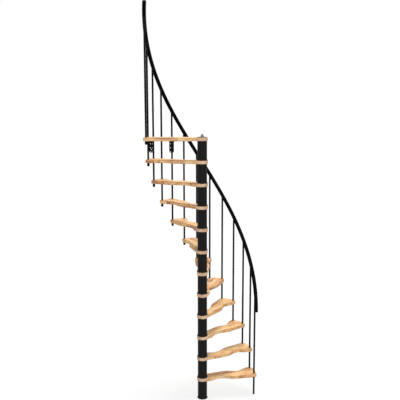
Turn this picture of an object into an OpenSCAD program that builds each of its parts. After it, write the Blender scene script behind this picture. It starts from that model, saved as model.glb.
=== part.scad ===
// Spiral staircase: alternating wave treads stacked on a bolted pole, with a helical handrail.
// Millimetres, +Z up. The origin is on the floor at the pole's axis.
// The stair climbs counterclockwise seen from above, and its landing tread points along -X.

/* [Stair] */
// Number of treads, the landing tread included
tread_count = 12; // [8:1:14]
// Height from the top of one tread to the top of the next
rise = 235; // [200:1:260]
// Height of the first tread's top above the floor
first_rise = 240; // [200:1:270]
// Angle in degrees from one tread to the next
tread_turn = 14.73; // [13:0.01:18]
// Radius of the circle on which the balusters stand
baluster_circle_r = 570; // [530:1:700]
// Play round every rod in its hole, and under the handrail
fit = 0.3; // [0.2:0.05:0.5]

/* [Treads] */
// Thickness of a tread
tread_t = 36; // [30:1:60]
// Wood that stands out round the pole's tubes
eye_lip = 8; // [6:1:20]
// Wood beyond the baluster holes, towards the tread's outer end
end_margin = 30; // [26:1:45]
// Wood beside the baluster holes, across the tread
side_margin = 23; // [20:1:35]
// Radius of the outer corners
corner_r = 26; // [15:1:35]
// Half width at the waist of the cut-away side
waist_w = 28; // [24:1:45]
// Distance of the waist from the pole's axis
waist_x = 178; // [150:1:210]
// Half width at the swell of the cut-away side
swell_w = 84; // [70:1:95]
// Distance of the swell from the pole's axis
swell_x = 385; // [330:1:440]
// Half width at the belly of the other side
belly_w = 75; // [64:1:85]
// Distance of the belly from the pole's axis
belly_x = 280; // [240:1:320]
// Half width at the hollow of the other side
hollow_w = 42; // [34:1:60]
// Distance of the hollow from the pole's axis
hollow_x = 405; // [370:1:450]
// Distance from the pole's axis at which the landing tread has its full width behind
shoulder_x = 140; // [110:1:240]

/* [Pole] */
// Outside diameter of the tubes between the treads
tube_d = 100; // [80:1:140]
// Wall of those tubes
tube_wall = 4; // [2:0.5:8]
// Thickness of the disc that closes each tube's upper end
tube_cap_t = 8; // [4:1:15]
// Diameter of the tie rod inside the pole
rod_d = 18; // [12:1:24]
// Length of the tie rod that stands out above its nut
rod_tip = 16; // [8:1:40]
// Width of the flared foot that shows round the lower end of each tube
foot_lip = 6; // [3:1:8]
// Height of the flared foot
foot_h = 12; // [8:1:20]
// Height of the foot's upright edge
foot_edge = 5; // [2:1:6]
// Diameter of the boss that takes the tie rod
boss_d = 36; // [32:1:44]
// Height of that boss above the floor foot
boss_h = 15; // [8:1:30]
// Metal left under the tie rod in the foot
rod_floor = 3; // [2:0.5:5]
// Number of anchor holes in the foot
anchor_count = 3; // [3:1:4]
// Diameter of the anchor holes
anchor_d = 9; // [6:0.5:12]
// Diameter of the disc on top of the landing tread
washer_d = 100; // [60:1:110]
// Thickness of that disc
washer_t = 3; // [2:0.5:8]
// Width of the nut across its flats
nut_flats = 30; // [27:1:40]
// Height of the nut
nut_h = 16; // [10:1:24]

/* [Balustrade] */
// Diameter of the balusters
baluster_d = 20; // [12:0.5:24]
// Height of the handrail's axis above the tread at each baluster
rail_height = 969; // [850:1:1100]
// Diameter of the handrail
rail_d = 40; // [32:1:50]
// Angle in degrees that the handrail runs on below the first baluster
rail_start_turn = 13.8; // [5:0.1:20]
// Angle in degrees that the handrail runs on past the last baluster
rail_end_turn = 7.25; // [4:0.05:20]
// Width of the bevel round the handrail's ends
rail_bevel = 4; // [1:0.5:8]
// Diameter of the collars under the front corners of the treads
collar_d = 28; // [28:1:36]
// Height of the collars
collar_h = 15; // [8:1:25]
// Wall of the collars at their thin lower end
collar_wall = 1.5; // [1:0.5:2]
// Diameter of the knobs under the back corners of the treads
knob_d = 26; // [26:1:40]
// Height of the knobs
knob_h = 36; // [32:1:50]
// Depth to which a baluster goes into its knob
knob_grip = 20; // [8:1:24]
// Radius of the round lower edge of the knobs
knob_round = 7; // [3:0.5:8]

/* [Landing brackets] */
// Width of a bracket
bracket_w = 48; // [40:1:60]
// Height of a bracket's hanging leg
bracket_h = 114; // [110:1:140]
// Depth of a bracket's leg under the tread
bracket_leg = 60; // [40:1:80]
// Thickness of the bracket's plate
bracket_t = 5; // [3:0.5:8]
// Radius of the hanging leg's lower corners
bracket_r = 16; // [6:1:20]
// Distance of the outer bracket from the baluster beside it
bracket_inset = 57; // [50:1:90]
// Distance between the two brackets
bracket_gap = 204; // [120:1:240]
// Diameter of the anchor hole in the hanging leg
bracket_anchor_d = 9; // [8:0.5:16]
// Depth of the anchor hole below the tread
bracket_anchor_drop = 82; // [78:1:90]
// Diameter of the screw holes in the hanging leg
bracket_screw_d = 7; // [4:0.5:9]
// Distance between the two columns of screw holes
bracket_screw_cols = 20; // [14:1:26]
// Number of rows of screw holes
bracket_row_count = 3; // [1:1:3]
// Distance between the rows of screw holes
bracket_screw_rows = 39; // [30:1:40]
// Depth of the upper row below the tread
bracket_screw_drop = 25.5; // [16:0.5:30]

/* [Hidden] */
$fn = 64;
cut = 1;
edge_steps = 10;
corner_steps = 6;
end_steps = 6;
eye_steps = 24;
rail_sides = 16;
rail_step = 3;

stair_r = baluster_circle_r + end_margin;
hole_x = baluster_circle_r * cos(tread_turn / 2);
hole_y = baluster_circle_r * sin(tread_turn / 2);
hole_d = baluster_d + 2 * fit;
tube_r = tube_d / 2;
tube_in = tube_r - tube_wall;
foot_r = tube_r + foot_lip;
rod_bore_r = rod_d / 2 + fit;
eye_r = tube_r + eye_lip;

// The board's outline is driven by half widths at a few distances from the pole's axis
end_w = hole_y + side_margin;
end_x = hole_x - baluster_d;
neck_x = 75;
heel_x = 20;
corner_y = end_w - corner_r;
corner_x = sqrt(pow(stair_r - corner_r, 2) - pow(corner_y, 2));
corner_a = atan2(corner_y, corner_x);
wave_side = [[neck_x, eye_r], [waist_x, waist_w], [swell_x, swell_w], [end_x, end_w]];
belly_side = [[heel_x, eye_r], [belly_x, belly_w], [hollow_x, hollow_w], [end_x, end_w]];
landing_front = [[neck_x, eye_r], [end_x, end_w]];
landing_back = [[heel_x, eye_r], [shoulder_x, end_w]];

landing_angle = 180;
landing_top = tread_top(tread_count);
landing_under = landing_top - tread_t;
rail_slope = atan2(rise, baluster_circle_r * tread_turn * PI / 180);
rail_r = rail_d / 2;
bracket_x_outer = hole_x - bracket_inset;
bracket_xs = [bracket_x_outer, bracket_x_outer - bracket_gap];

wood = [0.86, 0.68, 0.46];
dark_steel = [0.13, 0.13, 0.14];
black_paint = [0.06, 0.06, 0.06];
bare_steel = [0.55, 0.55, 0.54];

// Names with two digits, so that they sort in climbing order
function two(k) = str(k < 10 ? "0" : "", k);
function tread_name(k) = str("tread_", two(k));
function tube_name(k) = str("pole_tube_", two(k));
function baluster_name(k) = str("baluster_", two(k));

// Tread 1 is the lowest, and baluster k stands between treads k and k + 1
function tread_angle(k) = landing_angle - (tread_count - k) * tread_turn;
function baluster_angle(k) = tread_angle(k) + tread_turn / 2;
function tread_top(k) = first_rise + (k - 1) * rise;
function rail_z(k) = tread_top(k + 1) + rail_height;
function baluster_foot(k) = k == 0 ? 0 : tread_top(k) - tread_t - knob_grip;

// Points of a circular arc, from one angle to another
function arc(centre, r, from, to, steps) =
    [for (i = [0 : steps]) let (a = from + (to - from) * i / steps) centre + r * [cos(a), sin(a)]];

// A smooth edge through its key points, level at each of them
function ease(t) = (1 - cos(180 * t)) / 2;
function edge_span(a, b) =
    [for (i = [1 : edge_steps]) let (t = i / edge_steps) [a.x + (b.x - a.x) * t, a.y + (b.y - a.y) * ease(t)]];
function edge(keys) = concat([keys[0]], [for (i = [1 : len(keys) - 1]) each edge_span(keys[i - 1], keys[i])]);
function reversed(list) = [for (i = [len(list) - 1 : -1 : 0]) list[i]];
function inner(list) = [for (i = [1 : len(list) - 2]) list[i]];

// Outline of a tread along +X: round the pole, out along the front, round the end, back along the back
function board(front, back) = concat(
    arc([0, 0], eye_r, 90, 270, eye_steps),
    [for (p = edge(front)) [p.x, -p.y]],
    arc([corner_x, -corner_y], corner_r, -90, -corner_a, corner_steps),
    inner(arc([0, 0], stair_r, -corner_a, corner_a, end_steps)),
    arc([corner_x, corner_y], corner_r, corner_a, 90, corner_steps),
    reversed(edge(back))
);

// A drilled board, in its place in the stair
module tread_board(k, outline) {
    color(wood)
    translate([0, 0, tread_top(k) - tread_t])
    rotate([0, 0, tread_angle(k)])
    difference() {
        linear_extrude(tread_t) polygon(outline);
        translate([0, 0, -cut]) cylinder(r = rod_bore_r, h = tread_t + 2 * cut);
        for (side = [-1, 1])
            translate([hole_x, side * hole_y, -cut]) cylinder(d = hole_d, h = tread_t + 2 * cut);
    }
}

// Odd treads have the cut-away side in front, even treads are the same board turned over
module tread(k) {
    outline = k % 2 == 1 ? board(wave_side, belly_side) : board(belly_side, wave_side);
    tread_board(k, outline);
}

// The last tread is straight behind, where it lies along the upper floor
module landing_tread() {
    tread_board(tread_count, board(landing_front, landing_back));
}

// Tube under tread k, open below and closed by a drilled disc above
// The lowest tube stands on the floor foot, and each other one has a flared foot of its own
module pole_tube(k) {
    low = k == 1 ? foot_h : tread_top(k - 1);
    high = tread_top(k) - tread_t;
    flare = [[foot_r, low], [foot_r, low + foot_edge], [tube_r, low + foot_h]];
    color(dark_steel)
    rotate_extrude()
    polygon(concat(
        [[tube_in, low]],
        k == 1 ? [[tube_r, low]] : flare,
        [[tube_r, high], [rod_bore_r, high], [rod_bore_r, high - tube_cap_t], [tube_in, high - tube_cap_t]]
    ));
}

// Foot of the pole, with a blind boss for the tie rod and anchor holes inside the lowest tube
module base_foot() {
    boss_r = boss_d / 2;
    boss_top = foot_h + boss_h;
    anchor_r = (boss_r + tube_in) / 2;
    color(dark_steel)
    difference() {
        rotate_extrude()
        polygon([
            [0, 0], [foot_r, 0], [foot_r, foot_edge], [tube_r, foot_h], [boss_r, foot_h],
            [boss_r, boss_top], [rod_bore_r, boss_top], [rod_bore_r, rod_floor], [0, rod_floor]
        ]);
        for (i = [0 : anchor_count - 1])
            rotate([0, 0, i * 360 / anchor_count])
            translate([anchor_r, 0, -cut]) cylinder(d = anchor_d, h = foot_h + 2 * cut);
    }
}

// Rod that clamps the whole pole, with a bevelled tip
module tie_rod() {
    rod_r = rod_d / 2;
    bevel = rod_r / 4;
    tip = landing_top + washer_t + nut_h + rod_tip;
    color(bare_steel)
    rotate_extrude()
    polygon([[0, rod_floor], [rod_r, rod_floor], [rod_r, tip - bevel], [rod_r - bevel, tip], [0, tip]]);
}

module pole_washer() {
    color(dark_steel)
    translate([0, 0, landing_top])
    difference() {
        cylinder(d = washer_d, h = washer_t);
        translate([0, 0, -cut]) cylinder(r = rod_bore_r, h = washer_t + 2 * cut);
    }
}

module pole_nut() {
    color(bare_steel)
    translate([0, 0, landing_top + washer_t])
    difference() {
        cylinder(d = nut_flats / cos(30), h = nut_h, $fn = 6);
        translate([0, 0, -cut]) cylinder(r = rod_bore_r, h = nut_h + 2 * cut);
    }
}

// Rod from its knob, or from the floor, up to a saddle under the handrail
module baluster(k) {
    foot = baluster_foot(k);
    saddle_l = 4 * rail_d;
    color(black_paint)
    rotate([0, 0, baluster_angle(k)])
    translate([baluster_circle_r, 0, 0])
    difference() {
        translate([0, 0, foot]) cylinder(d = baluster_d, h = rail_z(k) - foot);
        translate([0, 0, rail_z(k)])
        rotate([rail_slope - 90, 0, 0])
        cylinder(r = rail_r + fit, h = saddle_l, center = true);
    }
}

// Tapered collars that carry the front corner of each tread
module baluster_collars() {
    bore_r = hole_d / 2;
    color(black_paint)
    for (k = [0 : tread_count - 1]) {
        seat = tread_top(k + 1) - tread_t;
        rotate([0, 0, baluster_angle(k)])
        translate([baluster_circle_r, 0, seat - collar_h])
        rotate_extrude()
        polygon([
            [bore_r, 0], [bore_r + collar_wall, 0], [collar_d / 2, collar_h * 2 / 3],
            [collar_d / 2, collar_h], [bore_r, collar_h]
        ]);
    }
}

// Blind knobs that close the balusters' lower ends under the back corner of each tread
module baluster_knobs() {
    bore_r = hole_d / 2;
    knob_r = knob_d / 2;
    low_round = arc([knob_r - knob_round, knob_round], knob_round, -90, 0, corner_steps);
    color(black_paint)
    for (k = [1 : tread_count]) {
        seat = tread_top(k) - tread_t;
        rotate([0, 0, baluster_angle(k)])
        translate([baluster_circle_r, 0, seat - knob_h])
        rotate_extrude()
        polygon(concat(
            [[0, 0]], low_round,
            [[knob_r, knob_h], [bore_r, knob_h], [bore_r, knob_h - knob_grip], [0, knob_h - knob_grip]]
        ));
    }
}

// Ring of the handrail at an angle on the baluster circle
function rail_ring(angle, r) =
    let (
        turns = (angle - baluster_angle(0)) / tread_turn,
        centre = [baluster_circle_r * cos(angle), baluster_circle_r * sin(angle), rail_z(0) + turns * rise],
        out = [cos(angle), sin(angle), 0],
        up = [sin(angle) * sin(rail_slope), -cos(angle) * sin(rail_slope), cos(rail_slope)]
    )
    [for (i = [0 : rail_sides - 1]) let (a = 360 * i / rail_sides) centre + r * (cos(a) * out + sin(a) * up)];

// Round tube along the helix, with bevelled ends
module handrail() {
    start = baluster_angle(0) - rail_start_turn;
    end = baluster_angle(tread_count) + rail_end_turn;
    steps = ceil((end - start) / rail_step);
    bevel_turn = rail_bevel * cos(rail_slope) / baluster_circle_r * 180 / PI;
    rings = concat(
        [rail_ring(start, rail_r - rail_bevel), rail_ring(start + bevel_turn, rail_r)],
        [for (i = [1 : steps - 1]) rail_ring(start + (end - start) * i / steps, rail_r)],
        [rail_ring(end - bevel_turn, rail_r), rail_ring(end, rail_r - rail_bevel)]
    );
    last = len(rings) - 1;
    n = rail_sides;
    sides = [
        for (j = [0 : last - 1], i = [0 : n - 1])
        let (a = j * n + i, b = j * n + (i + 1) % n)
        each [[a, a + n, b], [b, a + n, b + n]]
    ];
    lower_end = [for (i = [0 : n - 1]) i];
    upper_end = [for (i = [n - 1 : -1 : 0]) last * n + i];
    color(black_paint)
    polyhedron(points = [for (ring = rings) each ring], faces = concat([lower_end], sides, [upper_end]));
}

// Outline of the hanging leg, with its drilled holes, hanging down from the tread
module bracket_leg_outline() {
    half = bracket_w / 2;
    low = bracket_r - bracket_h;
    difference() {
        polygon(concat(
            [[half, 0], [-half, 0]],
            arc([bracket_r - half, low], bracket_r, 180, 270, corner_steps),
            arc([half - bracket_r, low], bracket_r, 270, 360, corner_steps)
        ));
        translate([0, -bracket_anchor_drop]) circle(d = bracket_anchor_d);
        for (column = [-0.5, 0.5], row = [0 : bracket_row_count - 1])
            translate([column * bracket_screw_cols, -bracket_screw_drop - row * bracket_screw_rows])
            circle(d = bracket_screw_d);
    }
}

// Angle brackets under the landing tread, flush with its back edge
module landing_brackets() {
    color(black_paint)
    translate([0, 0, landing_under])
    rotate([0, 0, landing_angle])
    for (x = bracket_xs)
        translate([x, end_w, 0]) {
            rotate([90, 0, 0]) linear_extrude(bracket_t) bracket_leg_outline();
            translate([-bracket_w / 2, -bracket_leg, -bracket_t])
            cube([bracket_w, bracket_leg - bracket_t, bracket_t]);
        }
}

base_foot();
tie_rod();
pole_washer();
pole_nut();
for (k = [1 : tread_count]) pole_tube(k);
for (k = [1 : tread_count - 1]) tread(k);
landing_tread();
landing_brackets();
for (k = [0 : tread_count]) baluster(k);
baluster_collars();
baluster_knobs();
handrail();
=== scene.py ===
import math
import random

import bpy
from mathutils import Matrix, Vector


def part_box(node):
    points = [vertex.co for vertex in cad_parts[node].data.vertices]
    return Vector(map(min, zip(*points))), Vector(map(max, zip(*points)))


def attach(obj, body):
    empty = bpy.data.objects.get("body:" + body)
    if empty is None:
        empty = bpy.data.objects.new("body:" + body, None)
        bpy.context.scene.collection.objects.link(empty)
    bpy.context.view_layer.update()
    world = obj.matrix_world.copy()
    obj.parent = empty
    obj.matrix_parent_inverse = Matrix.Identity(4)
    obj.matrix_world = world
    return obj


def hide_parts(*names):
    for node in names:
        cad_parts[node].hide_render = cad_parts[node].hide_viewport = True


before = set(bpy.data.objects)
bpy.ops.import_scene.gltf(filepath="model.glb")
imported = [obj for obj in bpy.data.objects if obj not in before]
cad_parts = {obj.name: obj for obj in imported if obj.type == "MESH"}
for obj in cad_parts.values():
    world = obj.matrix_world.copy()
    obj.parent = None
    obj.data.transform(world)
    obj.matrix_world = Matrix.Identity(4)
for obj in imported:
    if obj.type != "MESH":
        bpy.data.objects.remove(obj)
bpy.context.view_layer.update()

# Spiral staircase: wavy wood treads on a dark pole, thin black balusters and a helical handrail.
# Metres, +Z up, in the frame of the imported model.

random.seed(14)

# Names of the repeated pieces
TREADS = sorted(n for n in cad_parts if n.startswith("tread_"))
TUBES = sorted(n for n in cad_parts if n.startswith("pole_tube_"))
BALUSTERS = sorted(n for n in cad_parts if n.startswith(("baluster_0", "baluster_1")))

# Cleaning of copied pieces
MERGE_DISTANCE = 0.00001
FLAT_ANGLE = math.radians(0.3)
SHARP_ANGLE = math.radians(35)

# Edge roundings
TREAD_ROUND = 0.005
TUBE_ROUND = 0.0012
FITTING_ROUND = 0.0008
ROUND_SEGMENTS = 4
HOLE_KEEP_OUT = 0.014


def middle(node_name):
    """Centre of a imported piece's box."""
    low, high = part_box(node_name)
    return (low + high) / 2


def plan_angle(point):
    """Angle of a point round the pole, in radians from +X."""
    return math.atan2(point.y, point.x) % (2 * math.pi)


# Layout of the stair, read from the frame
FIRST_ROD = middle(BALUSTERS[0])
LAST_ROD = middle(BALUSTERS[-1])
ROD_CIRCLE = math.hypot(FIRST_ROD.x, FIRST_ROD.y)
TURN = (plan_angle(LAST_ROD) - plan_angle(FIRST_ROD)) / (len(BALUSTERS) - 1)
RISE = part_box(TREADS[1])[1].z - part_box(TREADS[0])[1].z
ROD_PLACES = [middle(n) for n in BALUSTERS]
FIRST_TREAD_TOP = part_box(TREADS[0])[1].z
LANDING_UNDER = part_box("landing_tread")[0].z


# Selecting and finishing

def select_only(piece):
    bpy.ops.object.select_all(action="DESELECT")
    piece.select_set(True)
    bpy.context.view_layer.objects.active = piece


def cad_copy(node_name, name):
    """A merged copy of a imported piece, ready to be finished."""
    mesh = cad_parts[node_name].data.copy()
    mesh.materials.clear()
    piece = bpy.data.objects.new(name, mesh)
    bpy.context.scene.collection.objects.link(piece)
    select_only(piece)
    bpy.ops.object.mode_set(mode="EDIT")
    bpy.ops.mesh.select_all(action="SELECT")
    bpy.ops.mesh.customdata_custom_splitnormals_clear()
    bpy.ops.mesh.remove_doubles(threshold=MERGE_DISTANCE)
    bpy.ops.mesh.dissolve_limited(angle_limit=FLAT_ANGLE)
    bpy.ops.object.mode_set(mode="OBJECT")
    return piece


def round_edges(piece, width, wanted):
    """Rounds the sharp edges whose middle is wanted."""
    mesh = piece.data
    normals = {}
    for face in mesh.polygons:
        face.select = False
        for key in face.edge_keys:
            normals.setdefault(key, []).append(face.normal.copy())
    for point in mesh.vertices:
        point.select = False
    for edge in mesh.edges:
        sides = normals.get(edge.key, [])
        sharp = len(sides) == 2 and sides[0].angle(sides[1], 0.0) > SHARP_ANGLE
        ends = [mesh.vertices[i].co for i in edge.vertices]
        edge.select = sharp and wanted((ends[0] + ends[1]) / 2)
    select_only(piece)
    bpy.context.tool_settings.mesh_select_mode = (False, True, False)
    bpy.ops.object.mode_set(mode="EDIT")
    bpy.ops.mesh.bevel(offset=width, segments=ROUND_SEGMENTS, affect="EDGES", loop_slide=False)
    bpy.ops.object.mode_set(mode="OBJECT")


def finish_piece(piece, material, slot, *nodes):
    """Shades a piece, gives it its material and fixes it in the frame."""
    select_only(piece)
    bpy.ops.object.shade_smooth_by_angle(angle=SHARP_ANGLE)
    even = piece.modifiers.new("even_shading", "WEIGHTED_NORMAL")
    even.keep_sharp = True
    bpy.ops.object.modifier_apply(modifier=even.name)
    piece.data.materials.clear()
    piece.data.materials.append(material)
    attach(piece, "root")
    if nodes:
        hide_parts(*nodes)


# Materials

def new_material(name):
    material = bpy.data.materials.new(name)
    material.use_nodes = True
    tree = material.node_tree
    shader = tree.nodes["Principled BSDF"]
    return material, tree, shader


def add_node(tree, kind, **values):
    node = tree.nodes.new(kind)
    for key, value in values.items():
        setattr(node, key, value)
    return node


def set_inputs(node, **values):
    """Sets a node's inputs by name, with _ for a blank."""
    for key, value in values.items():
        node.inputs[key.replace("_", " ")].default_value = value


def ramp(tree, source, *stops):
    """A colour ramp with the given (place, colour) stops."""
    node = tree.nodes.new("ShaderNodeValToRGB")
    tree.links.new(source, node.inputs["Fac"])
    points = node.color_ramp.elements
    while len(points) < len(stops):
        points.new(position=0.5)
    for point, (place, colour) in zip(points, stops):
        point.position = place
        point.color = (*colour, 1.0)
    return node.outputs["Color"]


# Places of a Mix node's sockets when it blends colours: factor, first colour, second colour and result
MIX_FACTOR = 0
MIX_FIRST = 6
MIX_SECOND = 7
MIX_RESULT = 2


def mix_colour(tree, blend, factor, first, second):
    """Two colours mixed; each value is a constant or another output."""
    node = add_node(tree, "ShaderNodeMix", data_type="RGBA", blend_type=blend)
    for place, value in ((MIX_FACTOR, factor), (MIX_FIRST, first), (MIX_SECOND, second)):
        if hasattr(value, "links"):
            tree.links.new(value, node.inputs[place])
        else:
            node.inputs[place].default_value = value
    return node.outputs[MIX_RESULT]


def weigh(tree, source, factor, rest):
    """source times factor plus rest, where rest is a number or another output."""
    node = add_node(tree, "ShaderNodeMath", operation="MULTIPLY_ADD")
    tree.links.new(source, node.inputs[0])
    node.inputs[1].default_value = factor
    if hasattr(rest, "links"):
        tree.links.new(rest, node.inputs[2])
    else:
        node.inputs[2].default_value = rest
    return node.outputs["Value"]


# Tones of the grain from a brown streak to a pale stave, each with its place on the scale
WOOD_BROWN = (0.45, 0.213, 0.115)
WOOD_TAN = (0.77, 0.403, 0.190)
WOOD_HONEY = (0.95, 0.553, 0.245)
WOOD_STRAW = (0.98, 0.635, 0.300)
WOOD_CREAM = (0.98, 0.732, 0.390)
GRAIN_SCALE = (
    (0.12, WOOD_BROWN), (0.34, WOOD_TAN), (0.52, WOOD_HONEY), (0.7, WOOD_STRAW), (0.92, WOOD_CREAM))

# Tones that the grain is multiplied by: flecks, edges darker by the slope of their faces, end grain and
# joints
PLAIN = (1.0, 1.0, 1.0)
WOOD_FLECK = (0.66, 0.47, 0.36)
WOOD_EDGE = (0.72, 0.62, 0.54)
WOOD_END = (0.84, 0.76, 0.68)
WOOD_JOINT = (0.62, 0.55, 0.48)
FLECK_SCALE = ((0.36, WOOD_FLECK), (0.47, PLAIN))
FLECK_SHARE = 0.5
EDGE_SCALE = ((0.08, PLAIN), (0.3, WOOD_EDGE), (0.85, WOOD_EDGE), (0.98, PLAIN))
END_SCALE = ((0.75, PLAIN), (0.95, WOOD_END))

# Painted highlight: the ring round the pole is painted paler, standing in for the extra light its faces
# catch; it fades from the first distance to the second
EYE_PAINTED_LIGHT = (0.90, 0.70, 0.53)
EYE_FADE = (0.056, 0.078)
EYE_SHARE = 0.65

# Staves, each with its own piece of the grain
STAVE_LENGTH = 0.31
STAVE_WIDTH = 0.036
STAVE_STAGGER = 0.37
STAVE_SHIFT = (5.3, 2.9, 3.7)
JOINT_LINE = 0.0005
JOINT_SOFTNESS = 0.3
JOINT_TONE = (0.3, 0.3, 0.3, 1.0)

# Noises: their roughness, and the span that holds most of their values
NOISE_ROUGHNESS = 0.6
NOISE_SPAN = (0.3, 0.7)

# Streaks, pores and flecks: how far each is drawn out, its detail and its distortion
STREAK_STRETCH = (5.0, 36.0, 36.0)
PORE_STRETCH = (22.0, 420.0, 420.0)
FLECK_STRETCH = (13.0, 44.0, 44.0)
STREAK_NOISE = (3.0, 0.3)
PORE_NOISE = (3.0, 0.0)
FLECK_NOISE = (2.0, 0.1)

# What streaks, staves and pores add to the tone
STREAK_WEIGHT = 2.5
STAVE_WEIGHT = 0.5
PORE_WEIGHT = 0.4
TONE_START = -1.14

# Varnish, and the relief of the grain under it
VARNISH_ROUGHNESS = (0.55, 0.42)
VARNISH_SPECULAR = 0.25
VARNISH_COAT = 0.05
VARNISH_COAT_ROUGHNESS = 0.3
GRAIN_RELIEF = 0.0005
RELIEF_STRENGTH = 0.3
PORE_RELIEF = 0.6


def stretched_noise(tree, source, stretch, detail, distortion):
    """Noise that is drawn out along the tread."""
    scaled = add_node(tree, "ShaderNodeVectorMath", operation="MULTIPLY")
    scaled.inputs[1].default_value = stretch
    tree.links.new(source, scaled.inputs[0])
    noise = add_node(tree, "ShaderNodeTexNoise")
    set_inputs(noise, Scale=1.0, Detail=detail, Roughness=NOISE_ROUGHNESS, Distortion=distortion)
    tree.links.new(scaled.outputs["Vector"], noise.inputs["Vector"])
    return noise.outputs["Fac"]


def gloss(tree, noise, first, last):
    """Roughness that goes from first to last over the span of a noise."""
    node = add_node(tree, "ShaderNodeMapRange")
    set_inputs(node, From_Min=NOISE_SPAN[0], From_Max=NOISE_SPAN[1], To_Min=first, To_Max=last)
    tree.links.new(noise, node.inputs["Value"])
    return node.outputs["Result"]


def along_tread(tree, place, angle, shift):
    """Coordinates whose X runs along the tread, moved so that no two treads are alike."""
    turned = add_node(tree, "ShaderNodeMapping", vector_type="TEXTURE")
    turned.inputs["Rotation"].default_value = (0.0, 0.0, angle)
    tree.links.new(place.outputs["Object"], turned.inputs["Vector"])
    moved = add_node(tree, "ShaderNodeVectorMath", operation="ADD")
    moved.inputs[1].default_value = shift
    tree.links.new(turned.outputs["Vector"], moved.inputs[0])
    return moved.outputs["Vector"]


def stave_pattern(tree, local):
    """Staggered staves: Color differs from stave to stave, Fac is 1 on the joints."""
    staves = add_node(tree, "ShaderNodeTexBrick", offset=STAVE_STAGGER, offset_frequency=2)
    set_inputs(staves, Scale=1.0, Mortar_Size=JOINT_LINE, Mortar_Smooth=JOINT_SOFTNESS, Bias=0.0)
    set_inputs(staves, Brick_Width=STAVE_LENGTH, Row_Height=STAVE_WIDTH)
    set_inputs(staves, Color1=(0.0, 0.0, 0.0, 1.0), Color2=(1.0, 1.0, 1.0, 1.0), Mortar=JOINT_TONE)
    tree.links.new(local, staves.inputs["Vector"])
    return staves


def own_grain(tree, staves, local):
    """Coordinates that jump at each joint, so that the grain breaks there."""
    jump = add_node(tree, "ShaderNodeVectorMath", operation="MULTIPLY_ADD")
    jump.inputs[1].default_value = STAVE_SHIFT
    tree.links.new(staves.outputs["Color"], jump.inputs[0])
    tree.links.new(local, jump.inputs[2])
    return jump.outputs["Vector"]


def near_pole(tree, place):
    """EYE_SHARE at the pole, 0 away from it."""
    level = add_node(tree, "ShaderNodeVectorMath", operation="MULTIPLY")
    level.inputs[1].default_value = (1.0, 1.0, 0.0)
    tree.links.new(place.outputs["Object"], level.inputs[0])
    distance = add_node(tree, "ShaderNodeVectorMath", operation="LENGTH")
    tree.links.new(level.outputs["Vector"], distance.inputs[0])
    fade = add_node(tree, "ShaderNodeMapRange", interpolation_type="SMOOTHSTEP")
    set_inputs(fade, From_Min=EYE_FADE[0], From_Max=EYE_FADE[1], To_Min=EYE_SHARE, To_Max=0.0)
    tree.links.new(distance.outputs["Value"], fade.inputs["Value"])
    return fade.outputs["Result"]


def facing(tree, place, direction):
    """How squarely a face looks along a direction, either way."""
    along = add_node(tree, "ShaderNodeVectorMath", operation="DOT_PRODUCT")
    along.inputs[1].default_value = direction
    tree.links.new(place.outputs["Normal"], along.inputs[0])
    size = add_node(tree, "ShaderNodeMath", operation="ABSOLUTE")
    tree.links.new(along.outputs["Value"], size.inputs[0])
    return size.outputs["Value"]


def tread_wood(name, angle, shift):
    """Laminated light wood: staves along the tread, streaked grain, edges darker by the slope of their
    faces, and darker ends.
    """
    material, tree, shader = new_material(name)
    links = tree.links
    place = add_node(tree, "ShaderNodeTexCoord")
    local = along_tread(tree, place, angle, shift)
    staves = stave_pattern(tree, local)
    grain = own_grain(tree, staves, local)
    streaks = stretched_noise(tree, grain, STREAK_STRETCH, *STREAK_NOISE)
    pores = stretched_noise(tree, grain, PORE_STRETCH, *PORE_NOISE)
    flecks = stretched_noise(tree, grain, FLECK_STRETCH, *FLECK_NOISE)

    tone = weigh(tree, pores, PORE_WEIGHT, TONE_START)
    tone = weigh(tree, staves.outputs["Color"], STAVE_WEIGHT, tone)
    tone = weigh(tree, streaks, STREAK_WEIGHT, tone)
    colour = ramp(tree, tone, *GRAIN_SCALE)
    colour = mix_colour(tree, "MULTIPLY", FLECK_SHARE, colour, ramp(tree, flecks, *FLECK_SCALE))
    # painted highlight: paler wood in the ring round the pole
    colour = mix_colour(tree, "MIX", near_pole(tree, place), colour, (*EYE_PAINTED_LIGHT, 1.0))
    # darker where faces slope between level and upright, on the rounded edges
    edges = ramp(tree, facing(tree, place, (0.0, 0.0, 1.0)), *EDGE_SCALE)
    colour = mix_colour(tree, "MULTIPLY", 1.0, colour, edges)
    ends = ramp(tree, facing(tree, place, (math.cos(angle), math.sin(angle), 0.0)), *END_SCALE)
    colour = mix_colour(tree, "MULTIPLY", 1.0, colour, ends)
    colour = mix_colour(tree, "MULTIPLY", staves.outputs["Fac"], colour, (*WOOD_JOINT, 1.0))
    links.new(colour, shader.inputs["Base Color"])

    links.new(gloss(tree, streaks, *VARNISH_ROUGHNESS), shader.inputs["Roughness"])
    bump = add_node(tree, "ShaderNodeBump")
    set_inputs(bump, Strength=RELIEF_STRENGTH, Distance=GRAIN_RELIEF)
    links.new(weigh(tree, pores, PORE_RELIEF, streaks), bump.inputs["Height"])
    links.new(bump.outputs["Normal"], shader.inputs["Normal"])
    set_inputs(shader, Specular_IOR_Level=VARNISH_SPECULAR)
    set_inputs(shader, Coat_Weight=VARNISH_COAT, Coat_Roughness=VARNISH_COAT_ROUGHNESS)
    return material


# Coats of paint and zinc
GRIT_SCALE = 900.0
GRIT_DETAIL = 2.0
GRIT_DEPTH = 0.0002
CLOUD_DETAIL = 4.0
PAINT_CLOUD_SCALE = 9.0
PAINT_TONE_SPAN = (0.35, 0.65)
PAINT_GLOSS_SPREAD = 0.06
ZINC_DARK = (0.13, 0.13, 0.125)
ZINC_LIGHT = (0.26, 0.26, 0.25)
ZINC_CLOUD_SCALE = 140.0
ZINC_ROUGHNESS = (0.3, 0.5)


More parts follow.
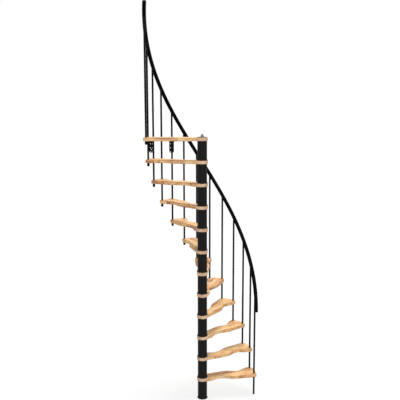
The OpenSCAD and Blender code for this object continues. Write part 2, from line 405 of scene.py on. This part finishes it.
def coated_steel(name, colour, variation, roughness, specular, grit):
    """Painted steel: fine grit in the coat and a little unevenness in its tone and gloss."""
    material, tree, shader = new_material(name)
    links = tree.links
    place = add_node(tree, "ShaderNodeTexCoord")
    fine = add_node(tree, "ShaderNodeTexNoise")
    set_inputs(fine, Scale=GRIT_SCALE, Detail=GRIT_DETAIL, Roughness=NOISE_ROUGHNESS)
    broad = add_node(tree, "ShaderNodeTexNoise")
    set_inputs(broad, Scale=PAINT_CLOUD_SCALE, Detail=CLOUD_DETAIL, Roughness=NOISE_ROUGHNESS)
    links.new(place.outputs["Object"], fine.inputs["Vector"])
    links.new(place.outputs["Object"], broad.inputs["Vector"])
    dark = tuple(c * (1 - variation) for c in colour)
    light = tuple(c * (1 + variation) for c in colour)
    tone = ramp(tree, broad.outputs["Fac"], (PAINT_TONE_SPAN[0], dark), (PAINT_TONE_SPAN[1], light))
    links.new(tone, shader.inputs["Base Color"])
    smooth = roughness - PAINT_GLOSS_SPREAD
    rough = roughness + PAINT_GLOSS_SPREAD
    links.new(gloss(tree, broad.outputs["Fac"], smooth, rough), shader.inputs["Roughness"])
    bump = add_node(tree, "ShaderNodeBump")
    set_inputs(bump, Strength=grit, Distance=GRIT_DEPTH)
    links.new(fine.outputs["Fac"], bump.inputs["Height"])
    links.new(bump.outputs["Normal"], shader.inputs["Normal"])
    set_inputs(shader, Specular_IOR_Level=specular)
    return material


def zinc_steel(name):
    """Zinc-plated steel with a cloudy tone and gloss."""
    material, tree, shader = new_material(name)
    links = tree.links
    place = add_node(tree, "ShaderNodeTexCoord")
    cloud = add_node(tree, "ShaderNodeTexNoise")
    set_inputs(cloud, Scale=ZINC_CLOUD_SCALE, Detail=CLOUD_DETAIL, Roughness=NOISE_ROUGHNESS)
    links.new(place.outputs["Object"], cloud.inputs["Vector"])
    tone = ramp(tree, cloud.outputs["Fac"], (NOISE_SPAN[0], ZINC_DARK), (NOISE_SPAN[1], ZINC_LIGHT))
    links.new(tone, shader.inputs["Base Color"])
    links.new(gloss(tree, cloud.outputs["Fac"], *ZINC_ROUGHNESS), shader.inputs["Roughness"])
    set_inputs(shader, Metallic=1.0)
    return material


POLE_PAINT = coated_steel(
    "pole_paint", colour=(0.0085, 0.0083, 0.0082), variation=0.15, roughness=0.58, specular=0.11, grit=0.3)
RAIL_PAINT = coated_steel(
    "rail_paint", colour=(0.0022, 0.0022, 0.0022), variation=0.2, roughness=0.48, specular=0.03, grit=0.15)
BALUSTER_PAINT = coated_steel(
    "baluster_paint", colour=(0.006, 0.006, 0.006), variation=0.15, roughness=0.5, specular=0.07, grit=0.15)
BRACKET_PAINT = coated_steel(
    "bracket_paint", colour=(0.004, 0.004, 0.0042), variation=0.2, roughness=0.6, specular=0.05, grit=0.3)
ZINC = zinc_steel("zinc_steel")


# Treads, whose grain is moved by up to this distance along each axis

GRAIN_RANGE = 3.0


def make_tread(node_name):
    """A tread with rounded edges; its baluster holes and its hole for the tie rod stay crisp."""
    centre = middle(node_name)
    angle = plan_angle(centre)
    holes = [Vector((0.0, 0.0))] + [Vector((p.x, p.y)) for p in ROD_PLACES]

    def on_outline(point):
        return all((Vector((point.x, point.y)) - hole).length > HOLE_KEEP_OUT for hole in holes)

    piece = cad_copy(node_name, node_name + "_board")
    round_edges(piece, TREAD_ROUND, on_outline)
    shift = [random.uniform(-GRAIN_RANGE, GRAIN_RANGE) for axis in range(3)]
    finish_piece(piece, tread_wood(node_name + "_wood", angle, shift), "tread_wood", node_name)


for tread in TREADS + ["landing_tread"]:
    make_tread(tread)


# Pole and fittings

def make_softened(node_name, width, material, slot):
    """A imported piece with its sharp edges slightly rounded."""
    piece = cad_copy(node_name, node_name + "_finished")
    round_edges(piece, width, lambda point: True)
    finish_piece(piece, material, slot, node_name)


for tube in TUBES + ["base_foot", "pole_washer"]:
    make_softened(tube, TUBE_ROUND, POLE_PAINT, "pole_paint")
make_softened("pole_nut", FITTING_ROUND, ZINC, "bare_steel")
make_softened("landing_brackets", FITTING_ROUND, BRACKET_PAINT, "bracket_paint")
for fitting in ("baluster_collars", "baluster_knobs"):
    make_softened(fitting, FITTING_ROUND, RAIL_PAINT, "rail_paint")


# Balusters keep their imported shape

def paint_node(node_name, material):
    """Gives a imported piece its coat."""
    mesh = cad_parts[node_name].data
    mesh.materials.clear()
    mesh.materials.append(material)


for rod in BALUSTERS:
    paint_node(rod, BALUSTER_PAINT)


# Winding of a profile round the pole's axis

def wind(piece, angle, climb, steps, turns=1):
    """Winds a closed profile up a helix into a closed solid."""
    select_only(piece)
    screw = piece.modifiers.new("helix", "SCREW")
    screw.axis = "Z"
    screw.angle = angle
    screw.screw_offset = climb
    screw.iterations = turns
    screw.steps = steps
    screw.render_steps = steps
    bpy.ops.object.modifier_apply(modifier=screw.name)
    bpy.ops.object.mode_set(mode="EDIT")
    bpy.ops.mesh.select_all(action="SELECT")
    bpy.ops.mesh.fill_holes(sides=0)
    bpy.ops.mesh.select_all(action="SELECT")
    bpy.ops.mesh.normals_make_consistent(inside=False)
    bpy.ops.object.mode_set(mode="OBJECT")


# Handrail: a round profile swept along the helix

RAIL_RADIUS = 0.020
RAIL_SIDES = 32
RAIL_STEPS = 180
RAIL_START_TURN = math.radians(13.8)
RAIL_END_TURN = math.radians(7.25)
RAIL_OVER_TREAD = 0.969
RAIL_END_ROUND = 0.004


def make_handrail():
    """A round rail that climbs with the treads, cut square to its run at both ends."""
    slope = math.atan2(RISE, ROD_CIRCLE * TURN)
    start = plan_angle(FIRST_ROD) - RAIL_START_TURN
    sweep = plan_angle(LAST_ROD) + RAIL_END_TURN - start
    start_height = FIRST_TREAD_TOP + RAIL_OVER_TREAD - RAIL_START_TURN / TURN * RISE
    bpy.ops.object.select_all(action="DESELECT")
    bpy.ops.mesh.primitive_circle_add(vertices=RAIL_SIDES, radius=RAIL_RADIUS, fill_type="NOTHING")
    piece = bpy.context.active_object
    piece.name = "handrail_tube"
    tilt = Matrix.Rotation(slope - math.pi / 2, 4, "X")
    out = Matrix.Translation((ROD_CIRCLE, 0.0, start_height))
    piece.matrix_world = Matrix.Rotation(start, 4, "Z") @ out @ tilt
    bpy.ops.object.transform_apply(location=True, rotation=True, scale=True)
    wind(piece, sweep, sweep / TURN * RISE, RAIL_STEPS)
    round_edges(piece, RAIL_END_ROUND, lambda point: True)
    finish_piece(piece, RAIL_PAINT, "rail_paint", "handrail")


make_handrail()


# Tie rod with its thread above the nut

ROD_LOW, ROD_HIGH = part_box("tie_rod")
ROD_RADIUS = (ROD_HIGH.x - ROD_LOW.x) / 2
ROD_SIDES = 40
THREAD_PITCH = 0.0025
THREAD_DEPTH = 0.0011
THREAD_SUNK = 0.0002
THREAD_ROOT = 0.96
THREAD_STEPS = 40
TIP_BEVEL = 0.0022

# Height and width of a triangle whose corners lie on a circle of radius 1
TRIANGLE_HEIGHT = 1.5
TRIANGLE_WIDTH = math.sqrt(3)


def make_thread(core, foot, turns):
    """A three-sided ridge wound round the core, its root sunk a little into it."""
    bpy.ops.object.select_all(action="DESELECT")
    bpy.ops.mesh.primitive_circle_add(vertices=3, radius=1.0, fill_type="NOTHING")
    thread = bpy.context.active_object
    outward = (THREAD_DEPTH + THREAD_SUNK) / TRIANGLE_HEIGHT
    upward = THREAD_PITCH * THREAD_ROOT / TRIANGLE_WIDTH
    thread.matrix_world = Matrix((
        (0.0, outward, 0.0, core - THREAD_SUNK + outward / 2),
        (0.0, 0.0, 1.0, 0.0),
        (upward, 0.0, 0.0, foot + THREAD_PITCH / 2),
        (0.0, 0.0, 0.0, 1.0)))
    bpy.ops.object.transform_apply(location=True, rotation=True, scale=True)
    wind(thread, 2 * math.pi, THREAD_PITCH, THREAD_STEPS, turns)
    return thread


def make_tie_rod():
    """A rod with a thread that starts inside the nut and runs up to a bevelled tip."""
    thread_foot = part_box("pole_nut")[0].z
    core = ROD_RADIUS - THREAD_DEPTH
    turns = int((ROD_HIGH.z - TIP_BEVEL - thread_foot) / THREAD_PITCH) - 1
    length = ROD_HIGH.z - ROD_LOW.z
    bpy.ops.object.select_all(action="DESELECT")
    bpy.ops.mesh.primitive_cylinder_add(
        vertices=ROD_SIDES, radius=core, depth=length, location=(0.0, 0.0, ROD_LOW.z + length / 2))
    rod = bpy.context.active_object
    rod.name = "tie_rod_threaded"
    bpy.ops.object.transform_apply(location=True, rotation=True, scale=True)
    round_edges(rod, TIP_BEVEL, lambda point: point.z > thread_foot)
    thread = make_thread(core, thread_foot, turns)
    select_only(rod)
    thread.select_set(True)
    bpy.ops.object.join()
    finish_piece(rod, ZINC, "bare_steel", "tie_rod")


make_tie_rod()


# Screws that hold the brackets up to the landing tread

BRACKET_LOW, BRACKET_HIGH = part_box("landing_brackets")
BRACKET_WIDTH = 0.048
BRACKET_PLATE = 0.005
SCREW_RADIUS = 0.0055
SCREW_HEIGHT = 0.0032
SCREW_CROWN = 0.0014
SCREW_SIDES = 24
SCREW_DEPTHS = (0.024, 0.046)
RECESS_SIDES = 6
RECESS_RADIUS = 0.0026
RECESS_DEPTH = 0.0019


def make_screw_head():
    """A pan head with a hexagonal recess, hanging below the origin."""
    bpy.ops.object.select_all(action="DESELECT")
    bpy.ops.mesh.primitive_cylinder_add(
        vertices=SCREW_SIDES, radius=SCREW_RADIUS, depth=SCREW_HEIGHT,
        location=(0.0, 0.0, -SCREW_HEIGHT / 2))
    head = bpy.context.active_object
    bpy.ops.object.transform_apply(location=True, rotation=True, scale=True)
    round_edges(head, SCREW_CROWN, lambda point: point.z < -SCREW_HEIGHT / 2)
    bpy.ops.object.select_all(action="DESELECT")
    bpy.ops.mesh.primitive_cylinder_add(
        vertices=RECESS_SIDES, radius=RECESS_RADIUS, depth=2 * RECESS_DEPTH,
        location=(0.0, 0.0, -SCREW_HEIGHT))
    recess = bpy.context.active_object
    bpy.ops.object.transform_apply(location=True, rotation=True, scale=True)
    select_only(head)
    cut = head.modifiers.new("recess", "BOOLEAN")
    cut.operation = "DIFFERENCE"
    cut.object = recess
    bpy.ops.object.modifier_apply(modifier=cut.name)
    bpy.data.objects.remove(recess)
    return head


def make_bracket_screws():
    """Copies of one screw head, under the brackets' flat legs."""
    pattern = make_screw_head()
    middles = (BRACKET_LOW.x + BRACKET_WIDTH / 2, BRACKET_HIGH.x - BRACKET_WIDTH / 2)
    seat = LANDING_UNDER - BRACKET_PLATE
    for side, x in zip(("outer", "inner"), middles):
        for row, depth in enumerate(SCREW_DEPTHS):
            select_only(pattern)
            bpy.ops.object.duplicate()
            head = bpy.context.active_object
            head.name = f"bracket_screw_{side}_{row + 1}"
            head.location = (x, BRACKET_LOW.y + depth, seat)
            bpy.ops.object.transform_apply(location=True, rotation=True, scale=True)
            finish_piece(head, ZINC, "bare_steel")
    bpy.data.objects.remove(pattern)


make_bracket_screws()


# Stage, light and camera

# Floor: its white as it is seen, the part of the light that it throws back, and its own glow
FLOOR_SIZE = 400.0
FLOOR_SEEN = 0.97
FLOOR_BOUNCE = 0.4
FLOOR_GLOW = 0.82

# Light of the room, and two suns that shine from an azimuth and an elevation in degrees,
# where azimuth 0 is the front, -Y, and azimuth 90 is +X
AMBIENT = 0.36
KEY_STRENGTH = 2.25
KEY_FROM = (150.0, 80.0)
FILL_STRENGTH = 1.1
FILL_FROM = (10.0, 25.0)
SUN_SOFTNESS = math.radians(25)


def seen_directly(tree):
    """1 for rays from the camera, from gloss and through clear things, 0 for light that fills the room."""
    path = add_node(tree, "ShaderNodeLightPath")
    seen = add_node(tree, "ShaderNodeMath", operation="MAXIMUM")
    tree.links.new(path.outputs["Is Camera Ray"], seen.inputs[0])
    tree.links.new(path.outputs["Is Glossy Ray"], seen.inputs[1])
    through = add_node(tree, "ShaderNodeMath", operation="MAXIMUM")
    tree.links.new(seen.outputs["Value"], through.inputs[0])
    tree.links.new(path.outputs["Is Transmission Ray"], through.inputs[1])
    return through.outputs["Value"]


def between(tree, source, low, high):
    """low where source is 0, high where it is 1."""
    node = add_node(tree, "ShaderNodeMapRange")
    set_inputs(node, To_Min=low, To_Max=high)
    tree.links.new(source, node.inputs["Value"])
    return node.outputs["Result"]


def make_floor():
    """A white floor that keeps a faint shadow and throws back only part of the light."""
    bpy.ops.object.select_all(action="DESELECT")
    bpy.ops.mesh.primitive_plane_add(size=FLOOR_SIZE, location=(0.0, 0.0, 0.0))
    floor = bpy.context.active_object
    floor.name = "floor"
    material = bpy.data.materials.new("floor_white")
    material.use_nodes = True
    tree = material.node_tree
    tree.nodes.clear()
    seen = seen_directly(tree)
    matt = add_node(tree, "ShaderNodeBsdfDiffuse")
    tree.links.new(between(tree, seen, FLOOR_BOUNCE, FLOOR_SEEN), matt.inputs["Color"])
    glow = add_node(tree, "ShaderNodeEmission")
    blend = add_node(tree, "ShaderNodeMixShader")
    tree.links.new(between(tree, seen, 0.0, FLOOR_GLOW), blend.inputs["Fac"])
    tree.links.new(matt.outputs["BSDF"], blend.inputs[1])
    tree.links.new(glow.outputs["Emission"], blend.inputs[2])
    output = add_node(tree, "ShaderNodeOutputMaterial")
    tree.links.new(blend.outputs["Shader"], output.inputs["Surface"])
    floor.data.materials.append(material)


def make_world():
    """A room that looks white and lights the stair evenly."""
    world = bpy.data.worlds.new("studio")
    bpy.context.scene.world = world
    world.use_nodes = True
    tree = world.node_tree
    background = tree.nodes["Background"]
    background.inputs["Color"].default_value = (1.0, 1.0, 1.0, 1.0)
    tree.links.new(between(tree, seen_directly(tree), AMBIENT, 1.0), background.inputs["Strength"])


def make_sun(name, strength, azimuth, elevation):
    """A soft sun that shines from an azimuth and an elevation, both in degrees."""
    lamp = bpy.data.lights.new(name, "SUN")
    lamp.energy = strength
    lamp.angle = SUN_SOFTNESS
    sun = bpy.data.objects.new(name, lamp)
    bpy.context.scene.collection.objects.link(sun)
    sun.rotation_euler = (math.radians(90 - elevation), 0.0, math.radians(azimuth))


# Camera of the photograph, found by fitting the treads, the pole and the balusters
CAMERA_LENS = 54.0
CAMERA_SENSOR = 36.0
CAMERA_DISTANCE = 6.1289
CAMERA_HEIGHT = 3.1543
CAMERA_ROUND = math.radians(2.783)
CAMERA_DOWN = math.radians(9.0431)
CAMERA_LEFT = math.radians(0.2184)
CAMERA_ROLL = math.radians(-0.0955)


def make_camera():
    """The photograph's camera: out from the pole, up, and turned to its view."""
    data = bpy.data.cameras.new("camera")
    data.lens = CAMERA_LENS
    data.sensor_width = CAMERA_SENSOR
    camera = bpy.data.objects.new("camera", data)
    bpy.context.scene.collection.objects.link(camera)
    back = Matrix.Translation((0.0, -CAMERA_DISTANCE, CAMERA_HEIGHT))
    place = Matrix.Rotation(CAMERA_ROUND, 4, "Z") @ back
    aim = Matrix.Rotation(CAMERA_LEFT, 4, "Z") @ Matrix.Rotation(math.pi / 2 - CAMERA_DOWN, 4, "X")
    camera.matrix_world = place @ aim @ Matrix.Rotation(CAMERA_ROLL, 4, "Z")
    bpy.context.scene.camera = camera


make_floor()
make_world()
make_sun("key", KEY_STRENGTH, *KEY_FROM)
make_sun("fill", FILL_STRENGTH, *FILL_FROM)
make_camera()
bpy.context.scene.view_settings.view_transform = "Standard"
